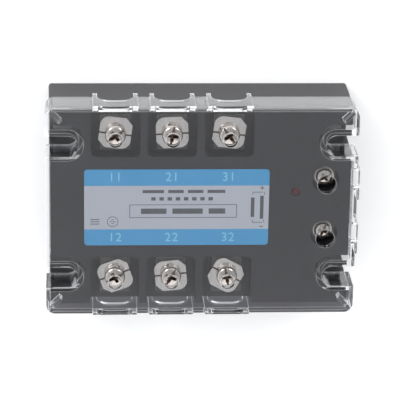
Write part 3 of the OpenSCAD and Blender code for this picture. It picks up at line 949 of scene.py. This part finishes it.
hairline = 0.22
printing = {
    "digitSize": 4.4 * mm,
    "digitY": 10.75 * mm,
    "digitSpacing": 1.1,
    "digitSteps": 4,
    "digits": {1: ("11", "21", "31"), -1: ("12", "22", "32")},
    "thick": 0.02 * mm,
    # from here on, and in hairline, plain millimetres: X and Y are from the label's middle
    "titleRow": (-11.5, 5.7, 1.1, (7.2, 5.2, 5.2, 6.0), 1.4),  # start, Y, height, lengths and gap
    "codeRow": (-8.6, 3.1, 1.2, (1.5,) * 8, 1.25),
    "ratingRow": (-12.0, -1.3, 1.9, (8.6, 10.2, 5.6), 2.0),
    "ratingFrame": (2.2, -1.3, 36.2, 4.8),  # X, Y, width and height
    "signFromLeft": 9.6,
    "signY": -5.0,
    "signRadius": 1.9,
    "signHole": 0.88,  # of the radius
    "signBars": [(0, 2.0), (0.7, 1.0), (-0.7, 1.0)],  # height above the sign's middle, and length
    "notesFromLeft": 3.6,
    "notes": [-4.2, -5.0, -5.8],
    "noteLength": 3.0,
    "inputFromRight": 3.4,  # the bars below take their X from here
    "leadLines": [(-0.4, 5.4, 3.4, hairline), (-2.1, 4.9, hairline, 0.9), (1.8, 4.9, hairline, 0.9)],
    "inputWords": [(-2.1, 0, 1.2, 7.0), (1.0, 0, 1.2, 8.2)],
    "inputSigns": [(1.0, 6.9, 1.3, 0.3), (1.0, 6.9, 0.3, 1.3), (1.0, -6.9, 1.3, 0.3)],
}
labelX = middle("label").x
labelHalf = (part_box("label")[1][0] - labelX) / mm


def thinBar(x, y, wide, high):
    # a printed rectangle, in millimetres from the label's middle
    deselectAll()
    bpy.ops.mesh.primitive_plane_add(size=1, location=(labelX + x * mm, y * mm, 0))
    bar = bpy.context.object
    bar.scale = (wide * mm, high * mm, 1)
    settle(bar)
    return bar


def joinPrint(name, parts, material):
    # lays the flat shapes on the label, gives them their thickness and joins them
    pick(*parts)
    bpy.ops.object.join()
    piece = bpy.context.object
    piece.name = piece.data.name = name
    bpy.ops.object.mode_set(mode="EDIT")
    bpy.ops.mesh.select_all(action="SELECT")
    bpy.ops.mesh.extrude_region_move(TRANSFORM_OT_translate={"value": (0, 0, printing["thick"])})
    bpy.ops.mesh.select_all(action="SELECT")
    bpy.ops.mesh.normals_make_consistent(inside=False)
    bpy.ops.object.mode_set(mode="OBJECT")
    piece.location.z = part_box("label")[1][2] - printing["thick"] / 4
    settle(piece)
    finishPiece(piece, "base", "printed_label", material)


def makeDigits():
    parts = []
    for side, words in printing["digits"].items():
        for phase, word in zip(phases, words):
            deselectAll()
            x = middle("line_screw_" + phase).x
            bpy.ops.object.text_add(location=(x, side * printing["digitY"], 0))
            text = bpy.context.object
            text.data.body = word
            text.data.size = printing["digitSize"]
            text.data.align_x = "CENTER"
            text.data.align_y = "CENTER"
            text.data.space_character = printing["digitSpacing"]
            text.data.resolution_u = printing["digitSteps"]
            bpy.ops.object.convert(target="MESH")
            parts.append(bpy.context.object)
            settle(parts[-1])
    joinPrint("labelDigits", parts, printPaleBlue)


def outlineBox(x, y, wide, high, line):
    # four thin bars round a rectangle, meeting at their corners
    flat = [thinBar(x, y + side * (high - line) / 2, wide, line) for side in (-1, 1)]
    upright = [thinBar(x + side * (wide - line) / 2, y, line, high - 2 * line) for side in (-1, 1)]
    return flat + upright


def wordRow(x, y, high, lengths, gap):
    # a row of plain blocks in place of words
    bars = []
    for length in lengths:
        bars.append(thinBar(x + length / 2, y, length, high))
        x += length + gap
    return bars


def switchSign(x, y):
    # a ring with three short bars inside
    place = (labelX + x * mm, y * mm, 0)
    hole = printing["signHole"]
    deselectAll()
    bpy.ops.mesh.primitive_circle_add(vertices=40, radius=printing["signRadius"] * mm, location=place)
    ring = bpy.context.object
    settle(ring)
    bpy.ops.object.mode_set(mode="EDIT")
    bpy.ops.mesh.select_all(action="SELECT")
    bpy.ops.mesh.extrude_region()
    bpy.ops.transform.resize(value=(hole, hole, 1), center_override=place)
    bpy.ops.object.mode_set(mode="OBJECT")
    return [ring] + [thinBar(x, y + rise, length, hairline) for rise, length in printing["signBars"]]


def makeText():
    parts = wordRow(*printing["titleRow"]) + wordRow(*printing["codeRow"])
    parts += outlineBox(*printing["ratingFrame"], hairline)
    parts += wordRow(*printing["ratingRow"])
    # a switch sign and small notes, in the lower left corner
    parts += switchSign(printing["signFromLeft"] - labelHalf, printing["signY"])
    noteX = printing["notesFromLeft"] - labelHalf
    parts += [thinBar(noteX, y, printing["noteLength"], 1.4 * hairline) for y in printing["notes"]]
    # the input's two leads, its rating and its signs, along the right edge
    edge = labelHalf - printing["inputFromRight"]
    for x, y, wide, high in printing["leadLines"]:
        parts += [thinBar(edge + x, side * y, wide, high) for side in (-1, 1)]
    for x, y, wide, high in printing["inputWords"] + printing["inputSigns"]:
        parts.append(thinBar(edge + x, y, wide, high))
    joinPrint("labelText", parts, printDarkGrey)


makeDigits()
makeText()
print("label printed")


# floor, light and camera

stage = {
    "floorSize": 4.0,
    "floorColour": (0.93, 0.93, 0.93, 1),
    "floorFlecks": (0.91605, 0.91605, 0.91605, 1),
    "floorGlow": 0.28,
    "shade": (0.09, 0.09, 0.1, 1),
    "shadeFade": 2 * mm,
    "skyTint": (0.96, 0.97, 1.0, 1),
    "skyHorizon": 1.2,
    "skyTop": 0.56,
    "skyRise": (0.2, 0.95),  # from and to where the one turns into the other, 1 being overhead
    "skyLean": -0.35,  # below 0 the sky is brighter towards -X
    "lamps": [
        {"name": "leftLight", "place": (-0.6, 0.65, 0.65), "size": 0.45, "watts": 3.6},
        {"name": "rightLight", "place": (0.6, 0.65, 0.65), "size": 0.45, "watts": 2.8},
        {"name": "fillLight", "place": (0.1, -0.8, 0.6), "size": 0.7, "watts": 1.0},
    ],
}


def makeFloor():
    deselectAll()
    place = (0, 0, cadBounds[0][2] - 0.1 * mm)
    bpy.ops.mesh.primitive_plane_add(size=stage["floorSize"], location=place)
    floor = bpy.context.object
    floor.name = "floor"
    settle(floor)
    material, tree, shader = newMaterial(
        "paleFloor", Roughness=0.9, Emission_Strength=stage["floorGlow"]
    )
    grain = useGroup(tree, grainGroup, {"Scale": 60.0, "Drift Scale": 4.0})
    paper = mixColours(tree, grain.outputs["Drift"], stage["floorFlecks"], stage["floorColour"])
    # painted shade: seen through the clear wall on the -Y side the floor is darkened, as if it lay in the
    # relay's own shade
    edge = cadBounds[0][1]
    beside = mapRange(tree, placeAxes(tree)["Y"], edge - stage["shadeFade"], edge, 1, 0)
    path = addNode(tree, "LightPath")
    through = multiply(tree, path.outputs["Is Transmission Ray"], beside)
    shaded = mixColours(tree, through, paper, stage["shade"])
    tree.links.new(shaded, shader.inputs["Base Color"])
    tree.links.new(shaded, shader.inputs["Emission Color"])
    floor.data.materials.append(material)


def makeLamps():
    for given in stage["lamps"]:
        bpy.ops.object.light_add(type="AREA", location=given["place"])
        light = bpy.context.object
        light.name = given["name"]
        light.data.shape = "DISK"
        light.data.size = given["size"]
        light.data.energy = given["watts"]
        light.rotation_euler = (-Vector(given["place"])).to_track_quat("-Z", "Y").to_euler()


def makeSky():
    world = bpy.data.worlds.new("studio")
    bpy.context.scene.world = world
    world.use_nodes = True
    tree = world.node_tree
    background = tree.nodes["Background"]
    background.inputs["Color"].default_value = stage["skyTint"]
    axes = placeAxes(tree, "Generated")
    low, high = stage["skyRise"]
    rise = mapRange(tree, axes["Z"], low, high, stage["skyHorizon"], stage["skyTop"])
    lean = mapRange(tree, axes["X"], -1, 1, 1 - stage["skyLean"], 1 + stage["skyLean"])
    tree.links.new(multiply(tree, rise, lean), background.inputs["Strength"])


cameraView = {
    "distance": 785 * mm,
    "target": (0, 0, 16.5 * mm),
    "tilt": 19.32,  # leans back towards +Y from straight above
    "yaw": 3.36,
    "roll": -0.933,
    "lens": 207.0,
    "sensor": 36.0,
    "shift": (0.00275, -0.0095),
    "nearest": 10 * mm,
}


def makeCamera():
    bpy.ops.object.camera_add()
    camera = bpy.context.object
    camera.name = "camera"
    turned = (
        Matrix.Rotation(math.radians(cameraView["roll"]), 3, "Z")
        @ Matrix.Rotation(math.radians(cameraView["tilt"]), 3, "X")
        @ Matrix.Rotation(math.radians(cameraView["yaw"]), 3, "Y")
    )
    aim = turned.transposed()
    place = Vector(cameraView["target"]) + aim @ Vector((0, 0, cameraView["distance"]))
    camera.matrix_world = Matrix.Translation(place) @ aim.to_4x4()
    camera.data.lens = cameraView["lens"]
    camera.data.sensor_width = cameraView["sensor"]
    camera.data.shift_x, camera.data.shift_y = cameraView["shift"]
    camera.data.clip_start = cameraView["nearest"]
    bpy.context.scene.camera = camera
    bpy.context.scene.view_settings.view_transform = "Standard"


makeFloor()
makeLamps()
makeSky()
makeCamera()
print("stage made")
